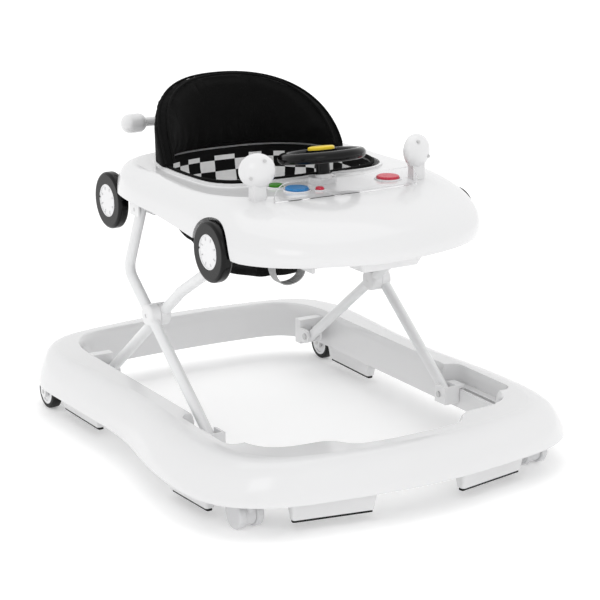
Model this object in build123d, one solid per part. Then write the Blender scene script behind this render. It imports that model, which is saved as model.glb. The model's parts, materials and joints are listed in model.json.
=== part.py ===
"""Car-shaped baby walker: ring base on castors, scissor frame, play tray with a sling seat.

Millimetres. +Z up, the walker drives towards -Y, +X is the child's left hand.
The origin is on the floor under the middle of the base ring.
"""
from build123d import *
import math
import os

os.makedirs("parts", exist_ok=True)

# ---------------------------------------------------------------- driving dimensions
# Base ring
BASE_HALF_WIDTH = 306.0
BASE_FRONT = -387.0
BASE_REAR = 387.0
BASE_BOTTOM = 46.0
BASE_TOP = 102.0
SHELL_WALL = 3.0
SIDE_RAIL = 94.0
FRONT_RAIL = 58.0
REAR_RAIL = 54.0

# Wheels
REAR_WHEEL_D = 54.0
REAR_WHEEL_WIDTH = 16.0
REAR_WHEEL_X = 251.0
REAR_WHEEL_Y = 301.0
AXLE_D = 6.0
CASTOR_WHEEL_D = 42.0
CASTOR_WHEEL_WIDTH = 11.0
CASTOR_X = 237.0
CASTOR_Y = -288.0
CASTOR_TRAIL = 11.0
CASTOR_STEM_D = 10.0
CASTOR_FORK_WIDTH = 15.0

# Grip pads
PAD_DEPTH = 33.0
STRIP_THICKNESS = 4.0
STRIP_WIDTH = 9.0
FRONT_PAD_LENGTH = 130.0
SIDE_PAD_LENGTH = 108.0
REAR_PAD_LENGTH = 132.0

# Scissor frame, seen from the side
TUBE_D = 16.0
TUBE_WALL = 1.5
TUBE_BEND = 26.0
TUBE_END = 9.0
PIVOT_HEIGHT = 68.0
REAR_PIVOT_Y = 227.0
HALF_LEG = 225.0
LEG_ANGLE = 37.5
FOLD_ANGLE = 20.0
REAR_TOP_RUN = 88.0
REAR_TOP = (104.0, 351.0)
REAR_TOP_LEAN = 18.0
FRONT_TOP_RUN = 78.0
FRONT_TOP = (-128.0, 322.0)
FRONT_TOP_LEAN = 5.0
TUBE_GAP = 1.5
PIN_D = 6.0
HUB_D = 34.0

# Tray body
BODY_HALF_WIDTH = 207.0
BODY_FRONT = -305.0
BODY_REAR = 250.0
BODY_BOTTOM = 338.0
DECK = 408.0
SILL = 362.0
PAN_BOTTOM = 368.0
PAN_WALL = 3.0
SEAT_HALF_WIDTH = 151.0
SEAT_FRONT = -60.0
SEAT_REAR = 202.0
RIM_HEIGHT = 3.0

# Toy car wheels
CAR_WHEEL_D = 86.0
CAR_WHEEL_WIDTH = 17.0
CAR_WHEEL_Z = 343.0
CAR_FRONT_X = 210.0
CAR_FRONT_Y = -143.0
CAR_REAR_X = 190.0
CAR_REAR_Y = 208.0
WELL_GAP = 4.0
WELL_WALL = 2.5
HUBCAP_D = 50.0

# Toys
STEER_Y = -98.0
STEER_Z = 446.0
STEER_TILT = 10.0
STEER_RADIUS = 55.0
STEER_RIM_D = 16.0
HORN_D = 38.0
MIRROR_X = 131.0
MIRROR_Y = -142.0
MIRROR_Z = 447.0
MIRROR_WIDTH = 52.0
MIRROR_HEIGHT = 48.0
SCREEN_Y = -166.0
SCREEN_HEIGHT = 24.0
SCREEN_WIDTH = 234.0
BUTTON_TRAVEL = 2.0
BUTTONS = {
    "green_button": (-73.0, -94.0, 20.0),
    "blue_button": (-58.0, -126.0, 33.0),
    "small_red_button": (-30.0, -141.0, 12.0),
    "large_red_button": (92.0, -128.0, 33.0),
}

# Seat and push bar
BACKREST_TOP = 523.0
BACKREST_THICKNESS = 22.0
BACKREST_X = 157.0
BACKREST_REAR = 214.0
SLING_BOTTOM = 256.0
SLING_WALL = 3.0
LEG_HOLE_X = 56.0
LEG_HOLE_Y = 30.0
LEG_HOLE_DIAMETER = 74.0
BAR_Z = 450.0
BAR_Y = 236.0
BAR_HALF = 112.0

CLEAR = 0.4
RUNNING = 0.05

# ---------------------------------------------------------------- outlines
# Half outlines from the front centre to the rear centre, as shares of the half width and half length.
BASE_SHAPE = (
    (0, -1), (0.26, -0.987), (0.49, -0.961), (0.67, -0.933), (0.837, -0.873), (0.948, -0.778),
    (0.997, -0.628), (1, -0.499), (0.97, -0.279), (0.928, -0.111), (0.908, 0.044), (0.912, 0.276),
    (0.922, 0.535), (0.912, 0.716), (0.8, 0.876), (0.49, 0.969), (0, 1),
)
CROWN_SHAPE = (
    (0, -1.007), (0.29, -0.999), (0.54, -0.973), (0.714, -0.939), (0.83, -0.887), (0.903, -0.816),
    (0.942, -0.716), (0.954, -0.572), (0.946, -0.329), (0.93, -0.143), (0.927, 0.029), (0.942, 0.286),
    (0.969, 0.572), (0.965, 0.73), (0.857, 0.91), (0.54, 0.99), (0, 1.025),
)
OPENING_SHAPE = (
    (0, -1), (0.287, -0.994), (0.42, -0.964), (0.5, -0.903), (0.62, -0.882), (0.79, -0.867),
    (0.92, -0.816), (0.985, -0.71), (1, -0.559), (1, 0.015), (1, 0.62), (0.97, 0.816),
    (0.85, 0.937), (0.574, 0.985), (0, 1),
)
BODY_SHAPE = (
    (0, -1), (0.406, -0.946), (0.765, -0.82), (0.945, -0.658), (1.008, -0.441), (1, -0.153),
    (0.986, 0.243), (0.957, 0.604), (0.845, 0.82), (0.507, 0.957), (0, 1),
)
SEAT_SHAPE = (
    (0, -1), (0.4, -1), (0.78, -0.97), (0.93, -0.8), (0.985, -0.5), (1, -0.2), (0.985, 0.2),
    (0.93, 0.5), (0.8, 0.77), (0.52, 0.95), (0, 1),
)


def outline(shape, half_width, front, rear, grow=0.0):
    """Closed spline through a half shape and its mirror image, grown or shrunk all round."""
    middle, half_length = (front + rear) / 2, (rear - front) / 2
    right = [(u * (half_width + grow), middle + v * (half_length + grow)) for u, v in shape]
    left = [(-x, y) for x, y in reversed(right[1:-1])]
    return make_face(Spline(*right, *left, periodic=True))


def at_height(face, z):
    return Pos(0, 0, z) * face


def stack(shape, sections, grow=0.0, drop=0.0):
    """Loft through (height, half width, front, rear) sections of one shape."""
    faces = []
    for z, half_width, front, rear in sections:
        faces.append(at_height(outline(shape, half_width, front, rear, grow), z + drop))
    return loft(faces)


def prism(face, low, high):
    return extrude(at_height(face, low), high - low)


def box(x0, x1, y0, y1, z0, z1):
    return Pos((x0 + x1) / 2, (y0 + y1) / 2, (z0 + z1) / 2) * Box(x1 - x0, y1 - y0, z1 - z0)


def rod(x0, x1, y, z, diameter):
    """Cylinder along X between two X values."""
    return Pos((x0 + x1) / 2, y, z) * Rot(0, 90, 0) * Cylinder(diameter / 2, abs(x1 - x0))


def post(x, y, z0, z1, diameter):
    return Pos(x, y, (z0 + z1) / 2) * Cylinder(diameter / 2, z1 - z0)


def both(part):
    """The right-hand piece and its mirror image, by side; +X is the left hand of the child."""
    return {"left": part, "right": mirror(part, Plane.YZ)}


def save(name, shape):
    shape.label = name
    export_step(shape, f"parts/{name}.step")


def save_pair(name, part, cut=None):
    for side, piece in both(part).items():
        if cut is not None:
            piece = (piece - cut).solids().sort_by(lambda solid: solid.volume)[-1]
        save(f"{name}_{side}", piece)


def save_group(name, solids):
    save(name, Compound(children=list(solids)))


# ---------------------------------------------------------------- derived places
OPENING_HALF_WIDTH = BASE_HALF_WIDTH - SIDE_RAIL
OPENING_FRONT = BASE_FRONT + FRONT_RAIL
OPENING_REAR = BASE_REAR - REAR_RAIL

# Plane of each tube: A runs beside the rail, B runs inside it. Their top ends lean inwards.
A_X = OPENING_HALF_WIDTH - 3.5 - TUBE_D / 2
B_X = A_X - TUBE_D - TUBE_GAP
A_TOP_X = A_X - REAR_TOP_LEAN
B_TOP_X = B_X - FRONT_TOP_LEAN

LEG = math.radians(LEG_ANGLE)
REAR_PIVOT = (REAR_PIVOT_Y, PIVOT_HEIGHT)
CROSSING = (REAR_PIVOT_Y - HALF_LEG * math.cos(LEG), PIVOT_HEIGHT + HALF_LEG * math.sin(LEG))
SLIDER = (REAR_PIVOT_Y - 2 * HALF_LEG * math.cos(LEG), PIVOT_HEIGHT)
SLIDER_TRAVEL = 2 * HALF_LEG * (math.cos(math.radians(LEG_ANGLE - FOLD_ANGLE)) - math.cos(LEG))


def turned(point, degrees):
    a = math.radians(degrees)
    y, z = point
    return (y * math.cos(a) - z * math.sin(a), y * math.sin(a) + z * math.cos(a))


# ---------------------------------------------------------------- base ring
CROWN = ((0.0, 0.0), (0.3, 4.0), (0.6, 12.0), (0.82, 22.0), (0.95, 34.0), (1.0, 47.0))


def ring_block(grow=0.0):
    """Full block under the crown; its outline goes over from the base shape to the crown shape."""
    faces = []
    for share, inset in CROWN:
        weight = inset / CROWN[-1][1]
        shape = [(u + (cu - u) * weight, v + (cv - v) * weight)
                 for (u, v), (cu, cv) in zip(BASE_SHAPE, CROWN_SHAPE)]
        z = BASE_BOTTOM + share * (BASE_TOP - BASE_BOTTOM) + min(grow, 0)
        face = outline(shape, BASE_HALF_WIDTH - inset, BASE_FRONT + 0.8 * inset, BASE_REAR - 0.8 * inset, grow)
        faces.append(at_height(face, z))
    return loft(faces)


# Track in the inner side of each rail: a recess in the crown, and a slot behind a lip. The carriage at
# the front end of tube A hooks over the lip.
LIP_TOP = BASE_TOP - 26
LIP = 3.0
TRACK_INNER = OPENING_HALF_WIDTH + 1.5
SLOT_INNER = TRACK_INNER + LIP
SLOT_OUTER = SLOT_INNER + 7
SLOT_FLOOR = BASE_BOTTOM + 10
RECESS_OUTER = SLOT_OUTER + 14
TRACK_FRONT = SLIDER[0] - SLIDER_TRAVEL - 44
TRACK_REAR = SLIDER[0] + 28


def track_block(outer, low, high, grow=0.0):
    return box(A_X - 20, outer + grow, TRACK_FRONT - grow, TRACK_REAR + grow, low - grow, high)


def track_lining():
    low = track_block(SLOT_OUTER, SLOT_FLOOR, LIP_TOP, SHELL_WALL)
    return low + track_block(RECESS_OUTER, LIP_TOP, BASE_TOP + 5, SHELL_WALL)


def track_space():
    recess = track_block(RECESS_OUTER, LIP_TOP, BASE_TOP + 5)
    recess = fillet(recess.edges().filter_by(Axis.Z).sort_by(Axis.X)[-2:], 18)
    slot = box(SLOT_INNER, SLOT_OUTER, TRACK_FRONT + 8, TRACK_REAR - 8, SLOT_FLOOR, LIP_TOP + 1)
    return recess + slot + track_block(TRACK_INNER, BASE_BOTTOM - 1, LIP_TOP + 1)


def opening_space():
    """The ring's opening, flared a little at the top so that its edge is rolled."""
    sections = []
    for z, flare in ((BASE_BOTTOM - 1, 0), (BASE_BOTTOM + 18, 0), (BASE_TOP - 16, 0.3), (BASE_TOP - 6, 2),
                     (BASE_TOP + 1, 7)):
        sections.append((z, OPENING_HALF_WIDTH + flare, OPENING_FRONT - flare, OPENING_REAR + flare))
    return stack(OPENING_SHAPE, sections)


def base_solid():
    """The ring as one full block, with its rounded crown."""
    return ring_block() - opening_space()


def base_shell(block):
    inner_wall = outline(OPENING_SHAPE, OPENING_HALF_WIDTH, OPENING_FRONT, OPENING_REAR, SHELL_WALL + 5)
    cavity = ring_block(-SHELL_WALL)
    cavity = cavity - prism(inner_wall, BASE_BOTTOM - SHELL_WALL - 1, BASE_TOP)
    for side in ("left", "right"):
        cavity = cavity - both(track_lining())[side]
    shell = block - cavity
    socket_y = CASTOR_Y - CASTOR_TRAIL
    socket = post(CASTOR_X, socket_y, BASE_BOTTOM + 8, BASE_TOP - 8, CASTOR_STEM_D + 8) & block
    hole = post(CASTOR_X, socket_y, 0, BASE_TOP - 11, CASTOR_STEM_D + 2 * CLEAR)
    arch = rod(REAR_WHEEL_X - REAR_WHEEL_WIDTH / 2 - 2, REAR_WHEEL_X + REAR_WHEEL_WIDTH / 2 + 2,
               REAR_WHEEL_Y, REAR_WHEEL_D / 2, REAR_WHEEL_D + 6)
    for side in ("left", "right"):
        shell = shell - both(track_space())[side]
        shell = shell + both(socket)[side] - both(hole)[side] - both(arch)[side]
    return shell


BASE_SOLID = base_solid()
BASE_SHELL = base_shell(BASE_SOLID)
save("base_shell", BASE_SHELL)


# Rear bracket: carries the fixed wheel and the lower hinge of tube B.
def rear_bracket():
    inner = B_X - TUBE_D / 2 - 5
    outer = B_X + TUBE_D / 2 + 1
    bracket = rod(inner, inner + 4, *REAR_PIVOT, 22) + rod(outer, outer + 4, *REAR_PIVOT, 22)
    for x in (inner, outer):
        bracket = bracket + box(x, x + 4, REAR_PIVOT_Y, REAR_PIVOT_Y + 26, 57, 79)
    bracket = bracket + box(inner, OPENING_HALF_WIDTH + 6, REAR_PIVOT_Y + 14, REAR_PIVOT_Y + 30,
                            BASE_BOTTOM + 6, 92)
    return bracket - rod(inner - 1, outer + 5, *REAR_PIVOT, PIN_D)


save_pair("rear_bracket", rear_bracket(), BASE_SOLID)


def rear_wheel_fork():
    """Yoke inside the shell: a top plate and two cheeks that hold the axle."""
    half = REAR_WHEEL_WIDTH / 2 + 1
    top = box(REAR_WHEEL_X - half - 4, REAR_WHEEL_X + half + 4, REAR_WHEEL_Y - 14, REAR_WHEEL_Y + 14,
              REAR_WHEEL_D + 3, REAR_WHEEL_D + 7)
    yoke = top
    for x in (REAR_WHEEL_X - half - 4, REAR_WHEEL_X + half):
        yoke = yoke + box(x, x + 4, REAR_WHEEL_Y - 9, REAR_WHEEL_Y + 9, REAR_WHEEL_D / 2, REAR_WHEEL_D + 4)
        yoke = yoke + rod(x, x + 4, REAR_WHEEL_Y, REAR_WHEEL_D / 2, 18)
    yoke = yoke + post(REAR_WHEEL_X, REAR_WHEEL_Y, REAR_WHEEL_D + 7, BASE_TOP - 30, 12)
    return yoke - rod(REAR_WHEEL_X - 20, REAR_WHEEL_X + 20, REAR_WHEEL_Y, REAR_WHEEL_D / 2, AXLE_D)


save_pair("rear_wheel_fork", rear_wheel_fork(), BASE_SHELL)


def rear_hub():
    core = rod(REAR_WHEEL_X - REAR_WHEEL_WIDTH / 2, REAR_WHEEL_X + REAR_WHEEL_WIDTH / 2, REAR_WHEEL_Y,
               REAR_WHEEL_D / 2, REAR_WHEEL_D - 14)
    for side in (-1, 1):
        face = REAR_WHEEL_X + side * (REAR_WHEEL_WIDTH / 2 - 1.5)
        dish = rod(face, face + side * 5, REAR_WHEEL_Y, REAR_WHEEL_D / 2, REAR_WHEEL_D - 22)
        core = core - (dish - rod(face, face + side * 5, REAR_WHEEL_Y, REAR_WHEEL_D / 2, 14))
    return core - rod(REAR_WHEEL_X - 20, REAR_WHEEL_X + 20, REAR_WHEEL_Y, REAR_WHEEL_D / 2,
                      AXLE_D + 2 * RUNNING)


def rear_tyre():
    ring = Pos(REAR_WHEEL_X, REAR_WHEEL_Y, REAR_WHEEL_D / 2) * Rot(0, 90, 0) * Cylinder(
        REAR_WHEEL_D / 2, REAR_WHEEL_WIDTH)
    ring = fillet(ring.edges(), 3)
    return ring - rod(REAR_WHEEL_X - 20, REAR_WHEEL_X + 20, REAR_WHEEL_Y, REAR_WHEEL_D / 2,
                      REAR_WHEEL_D - 14)


save_pair("rear_hub", rear_hub())
save_pair("rear_tyre", rear_tyre())
axle_half = REAR_WHEEL_WIDTH / 2 + 6
axle = rod(REAR_WHEEL_X - axle_half, REAR_WHEEL_X + axle_half, REAR_WHEEL_Y, REAR_WHEEL_D / 2, AXLE_D)
save_group("rear_axles", both(axle).values())


# Front castors: a fork that swivels on its stem and a pair of wheels on one shaft.
def castor_fork():
    radius = CASTOR_WHEEL_D / 2
    block = Pos(CASTOR_X, CASTOR_Y, radius) * Rot(0, 90, 0) * Cylinder(radius - 3, CASTOR_FORK_WIDTH)
    top = post(CASTOR_X, CASTOR_Y - CASTOR_TRAIL, radius + 4, BASE_BOTTOM + 6, CASTOR_FORK_WIDTH)
    web = box(CASTOR_X - CASTOR_FORK_WIDTH / 2, CASTOR_X + CASTOR_FORK_WIDTH / 2, CASTOR_Y - CASTOR_TRAIL,
              CASTOR_Y, radius + 2, CASTOR_WHEEL_D - 4)
    stem = post(CASTOR_X, CASTOR_Y - CASTOR_TRAIL, BASE_BOTTOM, BASE_TOP - 12, CASTOR_STEM_D)
    return block + top + web + stem - rod(CASTOR_X - 20, CASTOR_X + 20, CASTOR_Y, radius, AXLE_D)


def castor_wheels():
    radius = CASTOR_WHEEL_D / 2
    half = CASTOR_FORK_WIDTH / 2 + CLEAR
    shaft = rod(CASTOR_X - half - 3, CASTOR_X + half + 3, CASTOR_Y, radius, AXLE_D - 2 * RUNNING)
    for side in (-1, 1):
        near, far = CASTOR_X + side * half, CASTOR_X + side * (half + CASTOR_WHEEL_WIDTH)
        wheel = Pos((near + far) / 2, CASTOR_Y, radius) * Rot(0, 90, 0) * Cylinder(radius, CASTOR_WHEEL_WIDTH)
        shaft = shaft + fillet(wheel.edges(), 2.5)
    return shaft


save_pair("castor_fork", castor_fork())
save_pair("castor_wheels", castor_wheels())

# ---------------------------------------------------------------- grip pads
STRIP_TOP = BASE_BOTTOM - PAD_DEPTH
PADS = {
    "front": (130.0, -337.0, 10.5, FRONT_PAD_LENGTH),
    "side": (263.0, -188.0, 87.0, SIDE_PAD_LENGTH),
    "rear": (243.0, 198.0, 89.0, REAR_PAD_LENGTH),
}
for place, (x, y, angle, length) in PADS.items():
    spot = Pos(x, y, 0) * Rot(0, 0, angle)
    bottom = Pos(0, 0, STRIP_TOP) * RectangleRounded(length - 12, STRIP_WIDTH + 5, 4)
    top = Pos(0, 0, BASE_BOTTOM + 4) * RectangleRounded(length, STRIP_WIDTH + 15, 6)
    holder = spot * loft([bottom, top])
    strip = spot * extrude(Pos(0, 0, STRIP_TOP - STRIP_THICKNESS) * RectangleRounded(
        length - 14, STRIP_WIDTH, 3), STRIP_THICKNESS)
    save_group(f"{place}_pad_holders", both(holder).values())
    save_group(f"{place}_grip_strips", both(strip).values())


# ---------------------------------------------------------------- scissor frame
def along(start, toward, distance):
    dy, dz = toward[0] - start[0], toward[1] - start[1]
    reach = math.hypot(dy, dz)
    return (start[0] + dy * distance / reach, start[1] + dz * distance / reach)


def beyond(start, end):
    """Tube end a little past its pivot."""
    return along(start, end, math.dist(start, end) + TUBE_END)


def bent_tube(x, top_x, points):
    """Tube through three points of the side view; its top end is at top_x."""
    foot, bend, top = points
    path = FilletPolyline((x, *foot), (x, *bend), (top_x, *top), radius=TUBE_BEND)
    section = Plane(origin=path @ 0, z_dir=path % 0)
    outer = sweep(section * Circle(TUBE_D / 2), path)
    inner = sweep(section * Circle(TUBE_D / 2 - TUBE_WALL), path)
    return outer, outer - inner


A_BEND = along(CROSSING, (2 * CROSSING[0] - SLIDER[0], 2 * CROSSING[1] - SLIDER[1]), REAR_TOP_RUN)
B_BEND = along(CROSSING, (2 * CROSSING[0] - REAR_PIVOT[0], 2 * CROSSING[1] - REAR_PIVOT[1]), FRONT_TOP_RUN)
A_SOLID, A_TUBE = bent_tube(A_X, A_TOP_X, [beyond(A_BEND, SLIDER), A_BEND, beyond(A_BEND, REAR_TOP)])
B_SOLID, B_TUBE = bent_tube(B_X, B_TOP_X, [beyond(B_BEND, REAR_PIVOT), B_BEND, beyond(B_BEND, FRONT_TOP)])


def pin_hole(part, x, point, extra=0.0):
    return part - rod(x - TUBE_D, x + TUBE_D, *point, PIN_D + extra)


tube_a = pin_hole(pin_hole(pin_hole(A_TUBE, A_X, CROSSING, 2 * RUNNING), A_X, SLIDER, 2 * RUNNING),
                  A_TOP_X, REAR_TOP)
tube_b = pin_hole(pin_hole(pin_hole(B_TUBE, B_X, CROSSING), B_X, REAR_PIVOT, 2 * RUNNING), B_TOP_X, FRONT_TOP)
save_pair("rear_leg_tube", tube_a)
save_pair("front_leg_tube", tube_b)


def hub_half(tube_x, solid, outward, hole):
    """Round cover clamped on one tube at the crossing, with a domed outer face."""
    half = TUBE_D / 2 + TUBE_GAP / 2 - 0.3
    cover = rod(tube_x - half, tube_x + half, *CROSSING, HUB_D)
    face = cover.faces().sort_by(Axis.X)[-1 if outward else 0]
    cover = fillet(face.edges(), 5)
    return cover - solid - rod(tube_x - half - 1, tube_x + half + 1, *CROSSING, hole)


save_pair("hub_outer", hub_half(A_X, A_SOLID, True, PIN_D + 2 * RUNNING))
save_pair("hub_inner", hub_half(B_X, B_SOLID, False, PIN_D))
hub_pin = rod(B_X - TUBE_D / 2, A_X + TUBE_D / 2 - 1, *CROSSING, PIN_D)
save_group("hub_pins", both(hub_pin).values())

# The front legs are tied together by a rod that also runs in the height racks.
save("front_cross_rod", rod(-B_TOP_X - TUBE_D / 2 - 1, B_TOP_X + TUBE_D / 2 + 1, *FRONT_TOP, PIN_D))
rear_pin = rod(A_TOP_X - TUBE_D / 2 - 6, A_TOP_X + TUBE_D / 2 + 6, *REAR_TOP, PIN_D)
save_group("rear_top_pins", both(rear_pin).values())


SLIDER_PLAY = 0.8
SLIDER_IN = A_X - TUBE_D / 2 - 5.5
SLIDER_OUT = TRACK_INNER - SLIDER_PLAY


def slider_block():
    """Carriage: two cheeks round the tube end, an arm over the lip and a tongue in the slot."""
    y, z = SLIDER
    low, high = LIP_TOP - 21, LIP_TOP + 6
    block = box(SLIDER_IN, SLIDER_OUT, y - 17, y + 10, low, high)
    block = block - box(SLIDER_IN + 4, A_X + TUBE_D / 2 + 0.4, y - 13.5, y + 11, low - 1, high + 1)
    block = block + box(A_X + TUBE_D / 2 + 0.4, SLOT_OUTER - 1.5, y - 17, y + 10, LIP_TOP + 1, high)
    block = block + box(SLOT_INNER + 1.5, SLOT_OUTER - 1.5, y - 17, y + 10, SLOT_FLOOR + 2, LIP_TOP + 2)
    return block - rod(SLIDER_IN - 1, SLIDER_OUT + 1, *SLIDER, PIN_D)


save_pair("slider_block", slider_block())
slider_pin = rod(SLIDER_IN, SLIDER_OUT, *SLIDER, PIN_D)
slider_pin = slider_pin + rod(SLIDER_IN - 2, SLIDER_IN, *SLIDER, 9)
save_group("slider_pins", both(slider_pin).values())
hinge_bolt = rod(B_X - TUBE_D / 2 - 5, B_X + TUBE_D / 2 + 4, *REAR_PIVOT, PIN_D)
hinge_bolt = hinge_bolt + rod(B_X - TUBE_D / 2 - 7, B_X - TUBE_D / 2 - 5, *REAR_PIVOT, 10)
save_group("rear_hinge_bolts", both(hinge_bolt).values())

# ---------------------------------------------------------------- tray body
BODY_CROWN = (
    (BODY_BOTTOM, 3, 2, 3),
    (BODY_BOTTOM + 14, 0, 0, 0),
    (BODY_BOTTOM + 34, 1, 13, 1),
    (DECK - 20, 5, 43, 6),
    (DECK - 8, 13, 88, 14),
    (DECK, 31, 143, 32),
)
BODY_SECTIONS = [(z, BODY_HALF_WIDTH - side, BODY_FRONT + front, BODY_REAR - rear)
                 for z, side, front, rear in BODY_CROWN]
BODY_SOLID = stack(BODY_SHAPE, BODY_SECTIONS)
PAN_TOP = PAN_BOTTOM + PAN_WALL


def seat_face(grow=0.0):
    return outline(SEAT_SHAPE, SEAT_HALF_WIDTH, SEAT_FRONT, SEAT_REAR, grow)


CAR_WHEELS = {"front": (CAR_FRONT_X, CAR_FRONT_Y), "rear": (CAR_REAR_X, CAR_REAR_Y)}


def wheel_well(x, y, grow):
    """Space round a car wheel, open outwards."""
    return rod(x - CAR_WHEEL_WIDTH - WELL_GAP / 2 - grow, x + 60, y, CAR_WHEEL_Z,
               CAR_WHEEL_D + 2 * WELL_GAP + 2 * grow)


def body_shell():
    sill = Plane.YZ * make_face(Polyline(
        (BODY_FRONT - 20, BODY_BOTTOM - 20), (BODY_FRONT - 20, BODY_BOTTOM), (CAR_FRONT_Y - 60, BODY_BOTTOM),
        (CAR_FRONT_Y + 30, SILL - 10), (30, SILL), (BODY_REAR + 10, SILL + 2),
        (BODY_REAR + 10, BODY_BOTTOM - 20), close=True))
    cavity = stack(BODY_SHAPE, BODY_SECTIONS, -SHELL_WALL, -SHELL_WALL)
    cavity = cavity - prism(seat_face(SHELL_WALL), PAN_TOP, DECK + 1)
    shell = BODY_SOLID - extrude(sill, 400, both=True)
    for x, y in CAR_WHEELS.values():
        for side in ("left", "right"):
            cavity = cavity - both(wheel_well(x, y, WELL_WALL))[side]
            shell = shell - both(wheel_well(x, y, 0))[side]
    shell = shell - cavity
    rim = prism(seat_face(SHELL_WALL), DECK - SHELL_WALL, DECK + RIM_HEIGHT)
    shell = shell + rim - prism(seat_face(), PAN_TOP - 1, DECK + RIM_HEIGHT + 1)
    for x, y, size in BUTTONS.values():
        shell = shell - post(x, y, DECK - 10, DECK + 10, size + 2 * CLEAR)
    return shell


save("body_shell", body_shell())

pan = prism(outline(BODY_SHAPE, BODY_HALF_WIDTH - 9, BODY_FRONT + 47, BODY_REAR - 10), PAN_BOTTOM, PAN_TOP)
pan = pan - prism(seat_face(), PAN_BOTTOM - 1, PAN_TOP + 1)
for x, y in CAR_WHEELS.values():
    well = wheel_well(x, y, WELL_WALL + CLEAR)
    pan = pan - well - mirror(well, Plane.YZ)
save("tray_pan", pan)


def leg_socket():
    y, z = REAR_TOP
    side = TUBE_D / 2 + 1
    block = box(A_TOP_X - side - 5, A_TOP_X + side + 5, y - 14, y + 14, z - 9, PAN_BOTTOM)
    block = block - box(A_TOP_X - side - 2, A_TOP_X + side + 3, y - 15, y + 15, z - 10, PAN_BOTTOM - 3)
    return block - rod(A_TOP_X - side - 8, A_TOP_X + side + 8, *REAR_TOP, PIN_D + 2 * RUNNING)


save_group("leg_sockets", both(leg_socket()).values())

# The front cross rod moves along this path in the tray's own frame as the frame folds.
TILT_SHARE = 0.5
PATH_STEPS = 4


def rack_path():
    arm_a = (REAR_TOP[0] - CROSSING[0], REAR_TOP[1] - CROSSING[1])
    arm_b = (FRONT_TOP[0] - CROSSING[0], FRONT_TOP[1] - CROSSING[1])
    points = []
    for step in range(PATH_STEPS + 1):
        fold = FOLD_ANGLE * step / PATH_STEPS
        a, b = turned(arm_a, -fold), turned(arm_b, fold)
        reach = turned((b[0] - a[0], b[1] - a[1]), -TILT_SHARE * fold)
        points.append((REAR_TOP[0] + reach[0], REAR_TOP[1] + reach[1]))
    return points


RACK_SLOT = PIN_D + 3.0
RACK_X = 86.0
RACK_THICKNESS = 4.0


def height_rack():
    path = rack_path()
    lowest = min(z for y, z in path) - RACK_SLOT / 2 - 4
    front, rear = path[-1][0] - RACK_SLOT, path[0][0] + RACK_SLOT
    plate = box(RACK_X, RACK_X + RACK_THICKNESS, front, rear, lowest, PAN_BOTTOM)
    for (y0, z0), (y1, z1) in zip(path, path[1:]):
        run = math.dist((y0, z0), (y1, z1))
        angle = math.degrees(math.atan2(z1 - z0, y1 - y0))
        slot = Plane.YZ * Pos((y0 + y1) / 2, (z0 + z1) / 2) * Rot(0, 0, angle) * SlotCenterToCenter(
            run, RACK_SLOT)
        plate = plate - Pos(RACK_X - 2, 0, 0) * extrude(slot, RACK_THICKNESS + 4)
    return plate


save_group("height_racks", both(height_rack()).values())

BOX_Y = BODY_FRONT + 46
lid = Pos(0, BOX_Y, 0) * loft([
    Pos(0, 0, BODY_BOTTOM - 16) * RectangleRounded(90, 38, 5),
    Pos(0, 0, BODY_BOTTOM + 6) * RectangleRounded(108, 54, 6)])
lid = lid + box(-40, 40, BOX_Y + 4, BOX_Y + 24, BODY_BOTTOM + 6, PAN_BOTTOM)
save("battery_box", lid)


# Toy car wheels: a black tyre moulded with its stub, and a white cap in its face.
def car_tyre(x, y):
    radius = CAR_WHEEL_D / 2
    tyre = Pos(x - CAR_WHEEL_WIDTH / 2, y, CAR_WHEEL_Z) * Rot(0, 90, 0) * Cylinder(radius, CAR_WHEEL_WIDTH)
    tyre = fillet(tyre.edges(), 5)
    stub = rod(x - CAR_WHEEL_WIDTH - WELL_GAP / 2, x - CAR_WHEEL_WIDTH + 1, y, CAR_WHEEL_Z + 20, 14)
    return tyre - rod(x - 5, x + 1, y, CAR_WHEEL_Z, HUBCAP_D) + stub


caps = []
for place, (x, y) in CAR_WHEELS.items():
    save_pair(f"car_tyre_{place}", car_tyre(x, y))
    cap = rod(x - 5, x - 1, y, CAR_WHEEL_Z, HUBCAP_D)
    caps += list(both(cap).values())
save_group("hubcaps", caps)


# ---------------------------------------------------------------- toys on the deck
def mirror_head():
    dome = scale(Sphere(1), by=(MIRROR_WIDTH / 2, 15, MIRROR_HEIGHT / 2))
    dome = dome & box(-MIRROR_WIDTH, MIRROR_WIDTH, -30, 3, -MIRROR_HEIGHT, MIRROR_HEIGHT)
    head = Pos(MIRROR_X, MIRROR_Y, MIRROR_Z) * Rot(-6, 0, 17) * dome
    stem = box(MIRROR_X - 10, MIRROR_X + 10, MIRROR_Y - 8, MIRROR_Y + 6, DECK - 14, MIRROR_Z - 14)
    return head + stem


mirror_screws = [Pos(MIRROR_X, MIRROR_Y, MIRROR_Z) * Rot(-6, 0, 17) * Pos(dx, -9, dz) * Rot(90, 0, 0)
                 * Cylinder(2.2, 10) for dx, dz in ((-9, 14), (12, -9))]
mirror_part = mirror_head()
for screw in mirror_screws:
    mirror_part = mirror_part - screw
save_pair("mirror", mirror_part, BODY_SOLID)
save_group("mirror_screws", mirror_screws + [mirror(screw, Plane.YZ) for screw in mirror_screws])


def windscreen():
    bow = 600.0
    arc = Pos(0, SCREEN_Y - 12 + bow, DECK) * (Cylinder(bow, 80) - Cylinder(bow - 3, 81))
    profile = Plane.XZ * Pos(0, DECK) * RectangleRounded(SCREEN_WIDTH, 2 * SCREEN_HEIGHT, SCREEN_HEIGHT - 2)
    return (arc & extrude(profile, 240)) - BODY_SOLID


screen = windscreen().solids().sort_by(Axis.Z)[-1]
save("windscreen", screen)

STEER = Pos(0, STEER_Y, STEER_Z) * Rot(-STEER_TILT, 0, 0)
COLUMN_FOOT = -26.0
HORN_SEAT = 5.0


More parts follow.
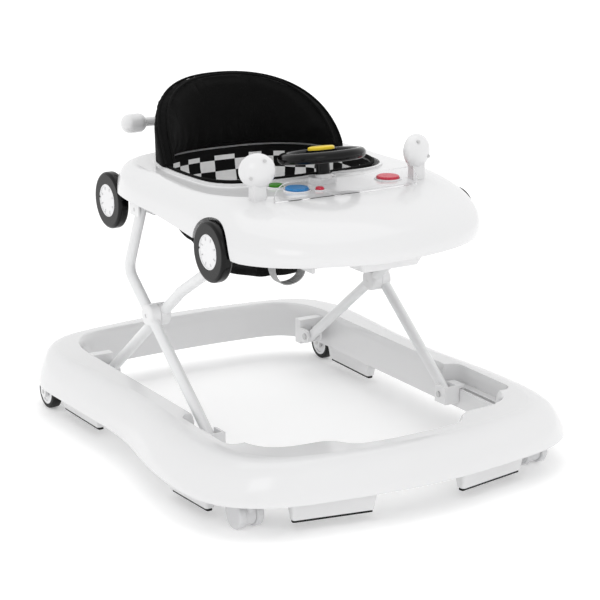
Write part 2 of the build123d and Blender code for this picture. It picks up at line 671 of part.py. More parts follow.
def turret():
    base = extrude(Pos(0, STEER_Y, DECK) * SlotOverall(44, 30), 9)
    cap = STEER * Pos(0, 0, COLUMN_FOOT - 4) * Cylinder(12, 8)
    return fillet(base.faces().sort_by(Axis.Z)[-1].edges(), 3) + cap


def steering_wheel():
    rim = Torus(STEER_RADIUS, STEER_RIM_D / 2)
    hub = Pos(0, 0, 2) * Cylinder(HORN_D / 2 + 3, 14)
    spokes = box(-STEER_RADIUS, STEER_RADIUS, -7, 7, -4, 4) + box(-7, 7, -STEER_RADIUS, 0, -4, 4)
    column = Pos(0, 0, COLUMN_FOOT / 2 + CLEAR / 2) * Cylinder(10, -COLUMN_FOOT - CLEAR)
    wheel = rim + hub + spokes + column
    return STEER * (wheel - Pos(0, 0, HORN_SEAT + 5) * Cylinder(HORN_D / 2 + CLEAR, 10))


def horn():
    cap = Pos(0, 0, HORN_SEAT + BUTTON_TRAVEL + 3.5) * Cylinder(HORN_D / 2, 6)
    return STEER * fillet(cap.edges().sort_by(Axis.Z)[-1], 2.5)


save("turret", turret())
save("steering_wheel", steering_wheel())
save("horn_button", horn())
for name, (x, y, size) in BUTTONS.items():
    cap = post(x, y, DECK - SHELL_WALL - 3, DECK + 5, size)
    save(name, fillet(cap.edges().sort_by(Axis.Z)[-1], 2))


# ---------------------------------------------------------------- push bar, seat, strap
def push_bar():
    bar = rod(-BAR_HALF, BAR_HALF, BAR_Y, BAR_Z, 14)
    for side in (-1, 1):
        bar = bar + post(side * BAR_HALF * 0.6, BAR_Y, DECK - 24, BAR_Z, 12)
    bar = (bar - BODY_SOLID).solids().sort_by(lambda solid: solid.volume)[-1]
    for side in (-1, 1):
        knob = Pos(side * (BAR_HALF + 16), BAR_Y, BAR_Z) * Rot(0, 90, 0) * Cylinder(14.5, 40)
        bar = bar + fillet(knob.edges(), 13.5)
    return bar


save("push_bar", push_bar())

SLING = (
    (DECK - 2, 4, 4, 4),
    (DECK - 60, 14, 10, 28),
    (DECK - 116, 44, 18, 72),
    (SLING_BOTTOM, 80, 32, 118),
)


def seat_sling():
    sections = [(z, SEAT_HALF_WIDTH - side, SEAT_FRONT + front, SEAT_REAR - rear)
                for z, side, front, rear in SLING]
    inside = [(z + (SLING_WALL if z == SLING_BOTTOM else 0), *rest) for z, *rest in sections]
    inside[0] = (sections[0][0] + 1, *sections[0][1:])
    bucket = stack(SEAT_SHAPE, sections) - stack(SEAT_SHAPE, inside, -SLING_WALL)
    for side in (-1, 1):
        bucket = bucket - post(
            side * LEG_HOLE_X, LEG_HOLE_Y, SLING_BOTTOM - 10, SLING_BOTTOM + 60, LEG_HOLE_DIAMETER
        )
    return bucket


save("seat_sling", seat_sling())


def backrest():
    middle = 70.0
    outer, inner = BACKREST_REAR - middle, BACKREST_REAR - middle - BACKREST_THICKNESS
    band = Pos(0, middle, 0) * (Ellipse(BACKREST_X, outer) - Ellipse(BACKREST_X - BACKREST_THICKNESS, inner))
    low = DECK + RIM_HEIGHT
    band = prism(band, low, BACKREST_TOP)
    side = make_face(Line((middle + 16, low), (260, low)) + Line((260, low), (260, BACKREST_TOP + 1))
                     + Line((260, BACKREST_TOP + 1), (BACKREST_REAR - 6, BACKREST_TOP + 1))
                     + Spline((BACKREST_REAR - 6, BACKREST_TOP + 1), (BACKREST_REAR - 34, BACKREST_TOP - 24),
                              (middle + 58, low + 52), (middle + 30, low + 30), (middle + 16, low)))
    return band & extrude(Plane.YZ * side, 200, both=True)


save("backrest", backrest())

STRAP_X = -43.0
STRAP_Y = -73.0
STRAP_Z = 284.0
STRAP_RADIUS = 26.0
STRAP_WALL = 2.0


def seat_strap():
    """Webbing loop that hangs from the pan."""
    loop = Pos(STRAP_X, STRAP_Y, STRAP_Z) * Rot(90, 0, 0) * (
        Cylinder(STRAP_RADIUS, 20) - Cylinder(STRAP_RADIUS - STRAP_WALL, 21))
    loop = loop & box(STRAP_X - 50, STRAP_X + 50, STRAP_Y - 20, STRAP_Y + 20, STRAP_Z - 50, STRAP_Z)
    for x in (STRAP_X - STRAP_RADIUS, STRAP_X + STRAP_RADIUS - STRAP_WALL):
        loop = loop + box(x, x + STRAP_WALL, STRAP_Y - 10, STRAP_Y + 10, STRAP_Z, PAN_BOTTOM)
    return loop


save("seat_strap", seat_strap())
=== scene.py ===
# %% [markdown]
# # A car-shaped baby walker
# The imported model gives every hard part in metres, in one frame: +Z is up, the walker drives towards -Y,
# and +X is the left hand of the seated child. This script adds the camera, the light, the finishes and the
# soft goods: a padded backrest, a seat of chequered cloth, and webbing. Hard parts keep their own meshes
# and only get a better finish.

# %% Load the model and keep its size
import bpy
import json
import math
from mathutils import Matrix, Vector, noise


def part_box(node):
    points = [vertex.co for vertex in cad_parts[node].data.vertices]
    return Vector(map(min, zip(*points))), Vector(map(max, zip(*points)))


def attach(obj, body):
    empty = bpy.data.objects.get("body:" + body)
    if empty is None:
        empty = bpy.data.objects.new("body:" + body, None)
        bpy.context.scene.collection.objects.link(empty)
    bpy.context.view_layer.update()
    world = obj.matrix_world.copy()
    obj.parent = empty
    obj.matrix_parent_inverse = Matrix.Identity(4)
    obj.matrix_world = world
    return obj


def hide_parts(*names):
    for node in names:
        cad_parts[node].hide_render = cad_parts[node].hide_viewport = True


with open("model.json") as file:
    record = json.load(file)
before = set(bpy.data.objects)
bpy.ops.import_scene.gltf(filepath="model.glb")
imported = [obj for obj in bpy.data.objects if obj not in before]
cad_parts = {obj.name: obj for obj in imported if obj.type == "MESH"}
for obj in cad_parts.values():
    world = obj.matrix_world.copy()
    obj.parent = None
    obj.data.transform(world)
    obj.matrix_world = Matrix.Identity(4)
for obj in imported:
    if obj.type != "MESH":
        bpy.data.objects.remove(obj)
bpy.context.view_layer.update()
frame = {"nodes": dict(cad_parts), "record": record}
nodes = frame["nodes"]

# %% [markdown]
# ## Camera
# The viewer stands low, in front and to the child's right, some three metres away. A long lens keeps the
# near and far rails almost parallel.

# %% Camera
AZIMUTH = math.radians(-31.18)
ELEVATION = math.radians(15.85)
DISTANCE = 2.959
AIM = Vector((-0.0236, -0.0777, 0.2325))
LENS = 123.0

back = Vector((math.sin(AZIMUTH) * math.cos(ELEVATION), -math.cos(AZIMUTH) * math.cos(ELEVATION),
               math.sin(ELEVATION)))
camera = bpy.data.objects.new("camera", bpy.data.cameras.new("camera"))
bpy.context.scene.collection.objects.link(camera)
camera.data.lens = LENS
camera.data.sensor_width = 36.0
camera.location = AIM + DISTANCE * back
camera.rotation_euler = back.to_track_quat("Z", "Y").to_euler()
bpy.context.scene.camera = camera
print("camera at", [round(v, 3) for v in camera.location])

# %% [markdown]
# ## Shader maths
# Finishes are written as sums. A small class wraps a socket, so that adding or multiplying it adds the Math
# node. Any other node comes from one method, which sets the node's settings first and then its inputs.


# %% Sockets that can be added and multiplied
class Socket:
    def __init__(self, finish, socket):
        self.finish, self.socket = finish, socket

    def math(self, operation, first, second):
        return self.finish.node("ShaderNodeMath", {"operation": operation}, {0: first, 1: second})

    def __add__(self, other):
        return self.math("ADD", self, other)

    def __sub__(self, other):
        return self.math("SUBTRACT", self, other)

    def __rsub__(self, other):
        return self.math("SUBTRACT", other, self)

    def __mul__(self, other):
        return self.math("MULTIPLY", self, other)

    def __lt__(self, other):
        return self.math("LESS_THAN", self, other)

    __radd__ = __add__
    __rmul__ = __mul__


class Finish:
    """One material: a Principled shader, uniform values on its own sockets, and nodes for what varies."""

    def __init__(self, name, **uniform):
        self.material = bpy.data.materials.new(name)
        self.material.use_nodes = True
        self.tree = self.material.node_tree
        self.shader = self.tree.nodes["Principled BSDF"]
        for socket, value in uniform.items():
            self.shader.inputs[socket.replace("_", " ").title().replace("Ior", "IOR")].default_value = value

    def node(self, kind, settings, inputs, output=0):
        made = self.tree.nodes.new(kind)
        for key, value in settings.items():
            setattr(made, key, value)
        for key, value in inputs.items():
            if isinstance(value, Socket):
                self.tree.links.new(value.socket, made.inputs[key])
            else:
                made.inputs[key].default_value = value
        return Socket(self, made.outputs[output])

    def feed(self, name, value):
        self.tree.links.new(value.socket, self.shader.inputs[name])

    def place(self):
        return self.node("ShaderNodeTexCoord", {}, {}, "Object")

    def stretched(self, scale):
        return self.node("ShaderNodeMapping", {}, {"Vector": self.place(), "Scale": scale})

    def noise(self, scale, detail=3.0, place=None):
        return self.node("ShaderNodeTexNoise", {}, {"Vector": place or self.place(), "Scale": scale,
                                                    "Detail": detail}, 0)

    def waves(self, axis, pitch, place=None):
        settings = {"wave_type": "BANDS", "bands_direction": axis, "wave_profile": "SIN"}
        scale = math.tau / 20 / pitch
        return self.node("ShaderNodeTexWave", settings, {"Vector": place or self.place(), "Scale": scale}, 1)

    def mix(self, factor, first, second):
        return self.node("ShaderNodeMix", {"data_type": "RGBA"}, {0: factor, 6: first, 7: second}, 2)

    def bump(self, height, strength, depth):
        normal = self.node("ShaderNodeBump", {}, {"Strength": strength, "Distance": depth, "Height": height})
        self.feed("Normal", normal)


def grey(value):
    return (value, value, value, 1.0)


# %% [markdown]
# ## Finishes of the hard parts
# The shells are glossy moulded plastic. Real mouldings are never quite even: the colour drifts a little, the
# gloss is broken by fine handling marks, and the skin has a faint orange peel. The same recipe with other
# numbers gives the duller fittings and the coloured buttons.


# %% Plastics, paint, steel and rubber
def moulded(name, colour, rough, coat=0.0, peel=0.03, drift=0.03, shine=0.5):
    finish = Finish(name, roughness=rough, coat_roughness=0.08, specular_ior_level=shine)
    shade = tuple(c * (1 - drift) for c in colour[:3]) + (1.0,)
    finish.feed("Base Color", finish.mix(finish.noise(9.0), colour, shade))
    marks = finish.noise(140.0, 5.0)
    finish.feed("Roughness", marks * 0.08 + (rough - 0.03))
    finish.shader.inputs["Coat Weight"].default_value = coat
    finish.bump(finish.noise(1100.0, 2.0) + marks * 0.5, peel, 0.0004)
    return finish.material


def powder_coat(name, colour):
    finish = Finish(name, roughness=0.3, coat_weight=0.25, coat_roughness=0.1)
    shade = tuple(c * 0.95 for c in colour[:3]) + (1.0,)
    finish.feed("Base Color", finish.mix(finish.noise(30.0), colour, shade))
    finish.feed("Roughness", finish.noise(400.0) * 0.12 + 0.24)
    finish.bump(finish.noise(1600.0, 2.0), 0.1, 0.0003)
    return finish.material


def steel(name):
    finish = Finish(name, metallic=1.0, roughness=0.3)
    brushed = finish.noise(60.0, 4.0, finish.stretched((2.0, 40.0, 40.0)))
    finish.feed("Base Color", finish.mix(brushed, grey(0.62), grey(0.5)))
    finish.feed("Roughness", brushed * 0.2 + 0.22)
    finish.bump(brushed, 0.1, 0.0002)
    return finish.material


def rubber(name, value):
    finish = Finish(name, roughness=0.55, specular_ior_level=0.2)
    finish.feed("Base Color", finish.mix(finish.noise(70.0), grey(value), grey(value * 1.8)))
    finish.feed("Roughness", finish.noise(260.0) * 0.2 + 0.45)
    finish.bump(finish.noise(1400.0), 0.2, 0.0004)
    return finish.material


def clear(name):
    finish = Finish(name, base_color=(0.98, 0.98, 0.985, 1.0), transmission_weight=1.0, ior=1.2)
    finish.feed("Roughness", finish.noise(180.0) * 0.04 + 0.02)
    return finish.material


SHELL_WHITE = (0.74, 0.74, 0.745, 1.0)
FITTING_WHITE = (0.78, 0.78, 0.785, 1.0)
finishes = {
    "white_shell": moulded("white_gloss_plastic", SHELL_WHITE, 0.16, coat=0.35),
    "white_fittings": moulded("white_satin_plastic", FITTING_WHITE, 0.3, coat=0.1),
    "painted_tube": powder_coat("white_powder_coat", (0.78, 0.785, 0.79, 1.0)),
    "steel": steel("screw_steel"),
    "white_caps": moulded("white_cap_plastic", (0.78, 0.78, 0.79, 1.0), 0.2, coat=0.3),
    "wheel_rubber": rubber("black_tyre_rubber", 0.012),
    "grey_castor": moulded("pale_castor_plastic", (0.66, 0.66, 0.67, 1.0), 0.3),
    "grip_rubber": rubber("black_grip_rubber", 0.01),
    "black_gloss": moulded("black_gloss_plastic", (0.002, 0.002, 0.0022, 1.0), 0.16, coat=0.0, peel=0.015,
                            shine=0.22),
    "clear_screen": clear("clear_plastic"),
    "yellow_plastic": moulded("yellow_plastic", (0.85, 0.62, 0.03, 1.0), 0.3, coat=0.0, shine=0.3),
    "green_plastic": moulded("green_plastic", (0.03, 0.2, 0.005, 1.0), 0.3, coat=0.0, shine=0.25),
    "blue_plastic": moulded("blue_plastic", (0.01, 0.2, 0.5, 1.0), 0.3, coat=0.0, shine=0.25),
    "red_plastic": moulded("red_plastic", (0.60, 0.015, 0.05, 1.0), 0.3, coat=0.0, shine=0.25),
}
SOFT_SLOTS = ("black_fabric", "check_fabric", "grey_webbing")
for entry in frame["record"]["subparts"]:
    if entry["material_slot"] in SOFT_SLOTS:
        continue
    for material_slot in nodes[entry["node"]].material_slots:
        material_slot.material = finishes[entry["material_slot"]]
print("hard finishes", len(finishes))

# %% [markdown]
# ## Cloth finishes
# Black polyester has a plain weave, too fine to see as threads but enough to kill the gloss. The seat is
# printed in black and white squares, which must follow the cloth and not the room, so the seat mesh stores
# a flat cloth position at every point, and the squares are read from that.

# %% Cloth
THREAD = 0.0011
SQUARE = 0.021


def weave(finish, pitch, place=None):
    return finish.waves("X", pitch, place) * finish.waves("Z", pitch, place) + finish.waves("Y", pitch, place)


def black_cloth(name, value=0.0022):
    finish = Finish(name, roughness=0.85, sheen_weight=0.02, sheen_roughness=0.4, specular_ior_level=0.1)
    finish.feed("Base Color", finish.mix(finish.noise(40.0, 6.0), grey(value), grey(value * 2.2)))
    finish.feed("Roughness", finish.noise(220.0) * 0.15 + 0.75)
    finish.bump(weave(finish, THREAD) + finish.noise(90.0, 4.0) * 2.0, 0.35, 0.0005)
    return finish.material


def chequered_cloth(name):
    finish = Finish(name, roughness=0.8, sheen_weight=0.02, specular_ior_level=0.12)
    flat = finish.node("ShaderNodeAttribute", {"attribute_name": "cloth"}, {}, "Vector")
    checks = {"Vector": flat, "Color1": grey(1.0), "Color2": grey(0.0), "Scale": 1.0 / SQUARE}
    squares = finish.node("ShaderNodeTexChecker", {}, checks, 1)
    printed = finish.mix(squares, grey(0.004), grey(0.86))
    border = finish.node("ShaderNodeSeparateXYZ", {}, {"Vector": flat}, 1)
    finish.feed("Base Color", finish.mix(border < 0.012, printed, grey(0.004)))
    finish.feed("Roughness", finish.noise(220.0) * 0.15 + 0.7)
    finish.bump(weave(finish, THREAD, flat) + finish.noise(70.0, 4.0) * 2.0, 0.3, 0.0005)
    return finish.material


def webbing(name, value):
    finish = Finish(name, roughness=0.7, specular_ior_level=0.3)
    ribs = finish.waves("Z", 0.0016)
    finish.feed("Base Color", finish.mix(ribs, grey(value * 0.7), grey(value)))
    finish.feed("Roughness", finish.noise(300.0) * 0.15 + 0.6)
    finish.bump(ribs + finish.noise(500.0), 0.5, 0.0006)
    return finish.material


finishes["black_fabric"] = black_cloth("black_polyester")
finishes["check_fabric"] = chequered_cloth("chequered_cotton")
finishes["grey_webbing"] = webbing("grey_webbing", 0.5)

# %% [markdown]
# ## Mesh helpers
# A soft piece starts as a grid of points. One helper turns rows of points into a mesh, one sweeps a round
# cord along a line, and one swells a closed pad with the cloth solver, as stuffing does, and then limits how
# far any point went.


# %% Meshes from points
def piece(name, vertices, faces, slot, body, smooth=True):
    mesh = bpy.data.meshes.new(name)
    mesh.from_pydata([tuple(v) for v in vertices], [], faces)
    mesh.validate()
    made = bpy.data.objects.new(name, mesh)
    bpy.context.scene.collection.objects.link(made)
    mesh.materials.append(finishes[slot])
    for polygon in mesh.polygons:
        polygon.use_smooth = smooth
    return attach(made, body) if body else made


def grid_faces(rows, columns, closed):
    """Quads between rows of points; closed joins the last column to the first."""
    faces = []
    for row in range(rows - 1):
        for column in range(columns if closed else columns - 1):
            after = (column + 1) % columns
            faces.append((row * columns + column, row * columns + after,
                          (row + 1) * columns + after, (row + 1) * columns + column))
    return faces


def tube(name, line, radius, slot, body, closed=False, sides=10):
    """A round cord through the points of a line, with capped ends."""
    count = len(line)
    rings = []
    for i, point in enumerate(line):
        before = line[i - 1] if i or closed else line[i]
        after = line[(i + 1) % count] if i < count - 1 or closed else line[i]
        along = (after - before).normalized()
        side = along.cross(Vector((0.0, 0.0, 1.0)))
        side = (side if side.length > 1e-4 else Vector((1.0, 0.0, 0.0))).normalized()
        up = side.cross(along)
        for k in range(sides):
            turn = math.tau * k / sides
            rings.append(point + radius * (math.cos(turn) * side + math.sin(turn) * up))
    faces = grid_faces(count, sides, True)
    if closed:
        last = (count - 1) * sides
        faces += [(last + k, last + (k + 1) % sides, (k + 1) % sides, k) for k in range(sides)]
    else:
        last = (count - 1) * sides
        faces += [tuple(range(sides)), tuple(range(last + sides - 1, last - 1, -1))]
    return piece(name, rings, faces, slot, body)


# %% A pad that swells
def apply_modifiers(made):
    graph = bpy.context.evaluated_depsgraph_get()
    solved = bpy.data.meshes.new_from_object(made.evaluated_get(graph))
    made.modifiers.clear()
    made.data = solved


def swell(made, voxel, pressure, cap):
    """Remesh the pad evenly, blow it up with the cloth solver, and keep each point within cap of its start."""
    remesh = made.modifiers.new("even", "REMESH")
    remesh.mode = "VOXEL"
    remesh.voxel_size = voxel
    apply_modifiers(made)
    start = [v.co.copy() for v in made.data.vertices]
    cloth = made.modifiers.new("cloth", "CLOTH")
    cloth.settings.use_pressure = True
    cloth.settings.uniform_pressure_force = pressure
    cloth.settings.effector_weights.gravity = 0.0
    cloth.settings.quality = 6
    for step in range(1, 21):
        bpy.context.scene.frame_set(step)
    apply_modifiers(made)
    bpy.context.scene.frame_set(1)
    for vertex, first in zip(made.data.vertices, start):
        move = vertex.co - first
        if move.length > cap:
            vertex.co = first + move * (cap / move.length)
    smooth = made.modifiers.new("fine", "SUBSURF")
    smooth.levels = smooth.render_levels = 1
    apply_modifiers(made)
    for polygon in made.data.polygons:
        polygon.use_smooth = True
    print(made.name, "faces", len(made.data.polygons))


# %% [markdown]
# ## Backrest
# The backrest is a tall padded hood round the back of the seat. Its top edge falls in one long curve from
# the middle to the front ends of the wings. It could be cut from the solid in the model, but a pad has
# crowned faces and soft edges, so it is built as a closed curved slab, swollen, and then given its piped
# edges and the small pleats where the cover is gathered at the foot.

# %% Shape of the backrest
pad_low, pad_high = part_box("backrest")
WING_ANGLE = math.radians(84.0)
PAD_HALF = 0.0095
PAD_MIDDLE = Vector((0.0, 0.070, 0.0))
PAD_WIDE = pad_high.x - 0.011
PAD_DEEP = pad_high.y - PAD_MIDDLE.y - 0.011


def pad_top(share):
    """Height of the top edge over the foot, from 1 at the back to 0 at the front end of a wing."""
    return max(0.0, 1.0 - abs(share) ** 2.4) ** 0.78


def pad_point(share, rise, out):
    """Point at a share of the wing angle, a rise above the foot in metres and a distance out."""
    angle = share * WING_ANGLE
    wide, deep = PAD_WIDE + out, PAD_DEEP + out
    lean = 0.05 * rise
    return Vector(((wide + lean) * math.sin(angle), PAD_MIDDLE.y + (deep + lean) * math.cos(angle),
                   pad_low.z + rise))


PAD_COLUMNS, PAD_ROWS = 72, 22
full_height = pad_high.z - pad_low.z - 0.002
inner, outer = [], []
for row in range(PAD_ROWS):
    level = row / (PAD_ROWS - 1)
    for column in range(PAD_COLUMNS):
        share = -1.0 + 2.0 * column / (PAD_COLUMNS - 1)
        rise = -0.005 + level * (0.005 + max(0.004, full_height * pad_top(share)))
        crown = 1.0 + 0.35 * math.sin(math.pi * min(1.0, level)) * (1 - share ** 6)
        inner.append(pad_point(share, rise, -PAD_HALF * crown))
        outer.append(pad_point(share, rise, PAD_HALF * (0.8 + 0.2 * crown)))
count = len(inner)
faces = [tuple(reversed(f)) for f in grid_faces(PAD_ROWS, PAD_COLUMNS, False)]
faces += [tuple(i + count for i in f) for f in grid_faces(PAD_ROWS, PAD_COLUMNS, False)]
rim = list(range(PAD_COLUMNS)) + [r * PAD_COLUMNS + PAD_COLUMNS - 1 for r in range(1, PAD_ROWS)]
rim += [(PAD_ROWS - 1) * PAD_COLUMNS + c for c in range(PAD_COLUMNS - 2, -1, -1)]
rim += [r * PAD_COLUMNS for r in range(PAD_ROWS - 2, 0, -1)]
faces += [(a, b, b + count, a + count) for a, b in zip(rim, rim[1:] + rim[:1])]
backrest = piece("backrest_pad", inner + outer, faces, "black_fabric", None)
swell(backrest, 0.005, 3.0, 0.005)

# %% Pleats at the foot of the backrest
PLEAT_HEIGHT = 0.055
PLEAT_DEPTH = 0.0013
LOOSE_DEPTH = 0.0012
for vertex in backrest.data.vertices:
    spot = vertex.co
    near_foot = max(0.0, 1.0 - (spot.z - pad_low.z) / PLEAT_HEIGHT)
    fold = math.sin(spot.x * 260.0 + 3.0 * noise.noise(spot * 14.0))
    outward = Vector((spot.x, spot.y - PAD_MIDDLE.y, 0.0)).normalized()
    loose = noise.noise(spot * 28.0) * LOOSE_DEPTH
    vertex.co = spot + outward * (PLEAT_DEPTH * near_foot * fold + loose)
    vertex.co.z = max(vertex.co.z, pad_low.z + 0.0004)
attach(backrest, "tray")
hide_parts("backrest")

# %% Piping along both edges of the top
for name, out in (("front_edge_piping", -PAD_HALF * 0.72), ("back_edge_piping", PAD_HALF * 0.72)):
    line = []
    for step in range(121):
        share = -0.985 + 1.97 * step / 120
        line.append(pad_point(share, full_height * pad_top(share) - 0.0022, out))
    tube(name, line, 0.0017, "black_fabric", "tray")

# %% [markdown]
# ## Seat
# The seat is a bucket of cloth that hangs in the tray, stiff at the rim and slack at the bottom, with a hole
# for each leg. Rows of points go down from the rim, pull in, and close at the bottom. The cloth position
# stored at each point is the way round the rim and the way down, in metres. The print is on the inner face
# only; the outer face is plain black.

# %% Shape of the seat cloth
sling_low, sling_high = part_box("seat_sling")
SEAT_MIDDLE = (sling_low.y + sling_high.y) / 2
SEAT_HALF = (sling_high.y - sling_low.y) / 2 - 0.001
SEAT_WIDE = sling_high.x - 0.001
SEAT_COLUMNS, SEAT_ROWS = 180, 46
LEG_HOLE = Vector((0.056, 0.030))
LEG_HOLE_RADIUS = 0.036


def seat_outline(turn, wide, half, middle):
    """Round at the back, squarer at the front."""
    s, c = math.sin(turn), -math.cos(turn)
    power = 2.0 / (4.0 if c < 0 else 2.5)
    x = math.copysign(abs(s) ** power, s) * wide
    return x, middle + math.copysign(abs(c) ** power, c) * half


def seat_profile(share):
    """Width share, pull to the middle, and depth share at a share of the way down."""
    if share < 0.72:
        t = share / 0.72
        return 1.0 - 0.42 * t ** 2.2, t ** 2, t ** 0.95
    t = (share - 0.72) / 0.28
    return 0.58 * (1.0 - t) ** 0.8, 1.0, 1.0


deep = sling_high.z - sling_low.z - 0.006
vertices, flat = [], []
for row in range(SEAT_ROWS):
    share = row / (SEAT_ROWS - 1) * 0.985
    narrow, pull, down = seat_profile(share)
    for column in range(SEAT_COLUMNS):
        turn = math.tau * column / SEAT_COLUMNS
        slack = 0.004 * math.sin(share * math.pi) * math.sin(turn * 11 + 2.0 * math.sin(turn * 3))
        x, y = seat_outline(turn, SEAT_WIDE * narrow, SEAT_HALF * narrow, SEAT_MIDDLE - 0.030 * pull)
        rumple = noise.noise(Vector((x, y, share)) * 22.0) * 0.005 * math.sin(share * math.pi)
        radial = Vector((x, y - SEAT_MIDDLE, 0.0)).normalized() * (slack + rumple)
        vertices.append(Vector((x, y, sling_high.z - 0.001 - deep * down)) - radial * 0.8
                        + Vector((0.0, 0.0, rumple * 0.4)))
        flat.append((turn * 0.145, share * 0.26, SQUARE / 2))
seat_faces = []
for face in grid_faces(SEAT_ROWS, SEAT_COLUMNS, True):
    centre = sum((vertices[i] for i in face), Vector()) / 4
    low_part = centre.z < sling_low.z + 0.045
    in_hole = (Vector((abs(centre.x), centre.y)) - LEG_HOLE).length < LEG_HOLE_RADIUS
    if not (low_part and in_hole):
        seat_faces.append(face)
seat = piece("seat_cloth", vertices, seat_faces, "check_fabric", None)
cloth_place = seat.data.attributes.new("cloth", "FLOAT_VECTOR", "POINT")
cloth_place.data.foreach_set("vector", [value for spot in flat for value in spot])
CLOTH_THICKNESS = 0.0016
thick = seat.modifiers.new("thickness", "SOLIDIFY")
thick.thickness = CLOTH_THICKNESS
thick.offset = 1.0
apply_modifiers(seat)
seat.data.materials.append(finishes["black_fabric"])
SEAT_HEART = Vector((0.0, SEAT_MIDDLE, sling_high.z))
for polygon in seat.data.polygons:
    polygon.material_index = 0 if polygon.normal.dot(SEAT_HEART - polygon.center) > 0.0 else 1
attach(seat, "tray")
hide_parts("seat_sling")

# %% Piping round the rim of the seat
rim_height = sling_high.z + 0.0045
line = []
for step in range(160):
    x, y = seat_outline(math.tau * step / 160, SEAT_WIDE + 0.0005, SEAT_HALF + 0.0005, SEAT_MIDDLE)
    line.append(Vector((x, y, rim_height)))
tube("seat_rim_piping", line, 0.003, "black_fabric", "tray", closed=True)

# %% [markdown]
# ## Webbing under the seat
# A webbing strap loops down under the front of the seat and back up. It is modelled as a flat band with
# thickness, because a solver would only erase so thin a piece.


# %% Webbing loop
def band(name, line, across, thickness, slot, body):
    """Flat strap through a line of points; across is the strap's width direction and size."""
    vertices = []
    for i, point in enumerate(line):
        along = (line[min(i + 1, len(line) - 1)] - line[max(i - 1, 0)]).normalized()
        lift = along.cross(across.normalized()) * (thickness / 2)
        vertices += [point - across / 2 - lift, point + across / 2 - lift,
                     point + across / 2 + lift, point - across / 2 + lift]
    faces = grid_faces(len(line), 4, True)
    last = (len(line) - 1) * 4
    faces += [(3, 2, 1, 0), (last, last + 1, last + 2, last + 3)]
    return piece(name, vertices, faces, slot, body, smooth=False)


WEBBING_WIDTH = 0.019
WEBBING_THICKNESS = 0.0016
STRAP_STEP = 0.012
strap_low, strap_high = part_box("seat_strap")
strap_middle = (strap_low + strap_high) / 2
strap_radius = (strap_high.x - strap_low.x) / 2 - 0.001
strap_turn = strap_low.z + strap_radius + 0.001


def strap_side(sign, steps):
    """Points down one side of the loop, in the order of steps."""
    return [Vector((strap_middle.x + sign * strap_radius, strap_middle.y, strap_high.z - STRAP_STEP * k))
            for k in steps]


loop = strap_side(-1, (0, 1, 2, 3))
for step in range(25):
    turn = math.pi + math.pi * step / 24
    sag = 0.002 * math.sin(3 * turn)
    loop.append(Vector((strap_middle.x + strap_radius * math.cos(turn), strap_middle.y + sag,
                        strap_turn + strap_radius * math.sin(turn))))
loop += strap_side(1, (3, 2, 1, 0))
strap = band("webbing_loop", loop, Vector((0.0, WEBBING_WIDTH, 0.0)), WEBBING_THICKNESS, "grey_webbing", "tray")
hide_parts("seat_strap")

# %% [markdown]
# ## Small trim
# A pale ring sits round each button, and eight short marks run round each hubcap.


# %% Button rings
def ring_line(centre, radius, axis, steps=48):
    """Circle of points round an axis."""
    first = axis.orthogonal().normalized()
    second = axis.cross(first)
    turns = [math.tau * k / steps for k in range(steps)]
    return [centre + radius * (math.cos(turn) * first + math.sin(turn) * second) for turn in turns]


for name in ("green_button", "blue_button", "small_red_button", "large_red_button"):
    low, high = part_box(name)
    centre = Vector(((low.x + high.x) / 2, (low.y + high.y) / 2, high.z - 0.0045))
    tube(name + "_ring", ring_line(centre, (high.x - low.x) / 2 + 0.0018, Vector((0, 0, 1))), 0.0013,
         "white_caps", "tray", closed=True)

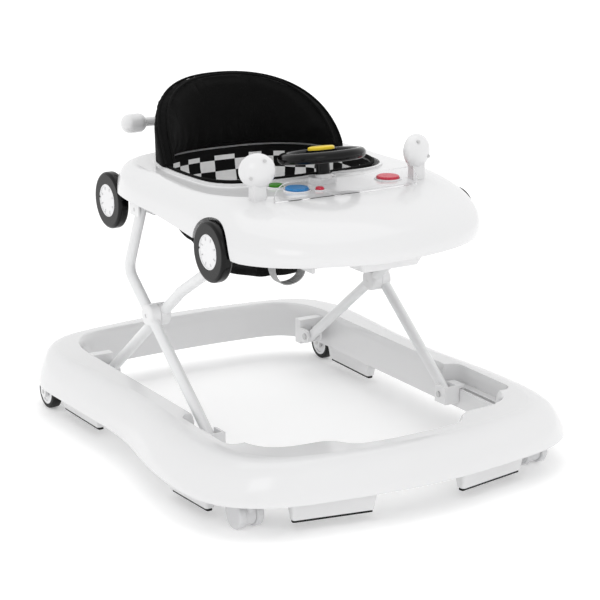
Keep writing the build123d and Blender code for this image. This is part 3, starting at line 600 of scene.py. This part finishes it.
# %% Marks on the hubcaps
MARKS = 8
MARK_INNER, MARK_OUTER, MARK_RADIUS = 0.0165, 0.0205, 0.0009
CAP_EDGE_RADIUS = 0.0238
for name in ("car_tyre_front_left", "car_tyre_front_right", "car_tyre_rear_left", "car_tyre_rear_right"):
    low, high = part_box(name)
    sign = 1.0 if name.endswith("left") else -1.0
    face = (high.x if sign > 0 else low.x) - sign * 0.0008
    centre = Vector((face, (low.y + high.y) / 2, (low.z + high.z) / 2))
    tube(name + "_cap_edge", ring_line(centre, CAP_EDGE_RADIUS, Vector((1, 0, 0))), 0.0011, "white_caps", "tray", True)
    for k in range(MARKS):
        turn = math.tau * (k + 0.5) / MARKS
        aim = Vector((0.0, math.cos(turn), math.sin(turn)))
        mark = [centre + aim * MARK_INNER, centre + aim * MARK_OUTER]
        tube(f"{name}_mark_{k}", mark, MARK_RADIUS, "grey_castor", "tray")

# %% [markdown]
# ## Floor and light
# A white sheet lies under the walker, lit by a white surround and two large soft lamps, one overhead and one
# in front to the left, so that the shadows are pale and soft.

# %% Floor, surround and lamps
floor_mesh = bpy.data.meshes.new("floor")
reach = 12.0
floor_mesh.from_pydata([(-reach, -reach, 0), (reach, -reach, 0), (reach, reach, 0), (-reach, reach, 0)], [],
                       [(0, 1, 2, 3)])
floor = bpy.data.objects.new("floor", floor_mesh)
bpy.context.scene.collection.objects.link(floor)
floor_finish = Finish("white_paper", base_color=grey(0.93), roughness=0.9, specular_ior_level=0.1,
                      emission_color=grey(1.0), emission_strength=0.22)
floor_mesh.materials.append(floor_finish.material)

world = bpy.data.worlds.new("surround")
bpy.context.scene.world = world
world.use_nodes = True
world.node_tree.nodes["Background"].inputs["Color"].default_value = grey(1.0)
world.node_tree.nodes["Background"].inputs["Strength"].default_value = 1.02


def lamp(name, place, size, power):
    made = bpy.data.objects.new(name, bpy.data.lights.new(name, "AREA"))
    bpy.context.scene.collection.objects.link(made)
    made.data.shape = "RECTANGLE"
    made.data.size, made.data.size_y = size
    made.data.energy = power
    made.location = place
    made.rotation_euler = (Vector(place) - Vector((0, 0, 0.25))).to_track_quat("Z", "Y").to_euler()


lamp("overhead", (0.3, 0.2, 2.6), (2.2, 2.2), 7.0)
lamp("front_left", (-1.6, -2.2, 1.8), (1.2, 1.2), 5.0)
bpy.context.scene.view_settings.view_transform = "Standard"
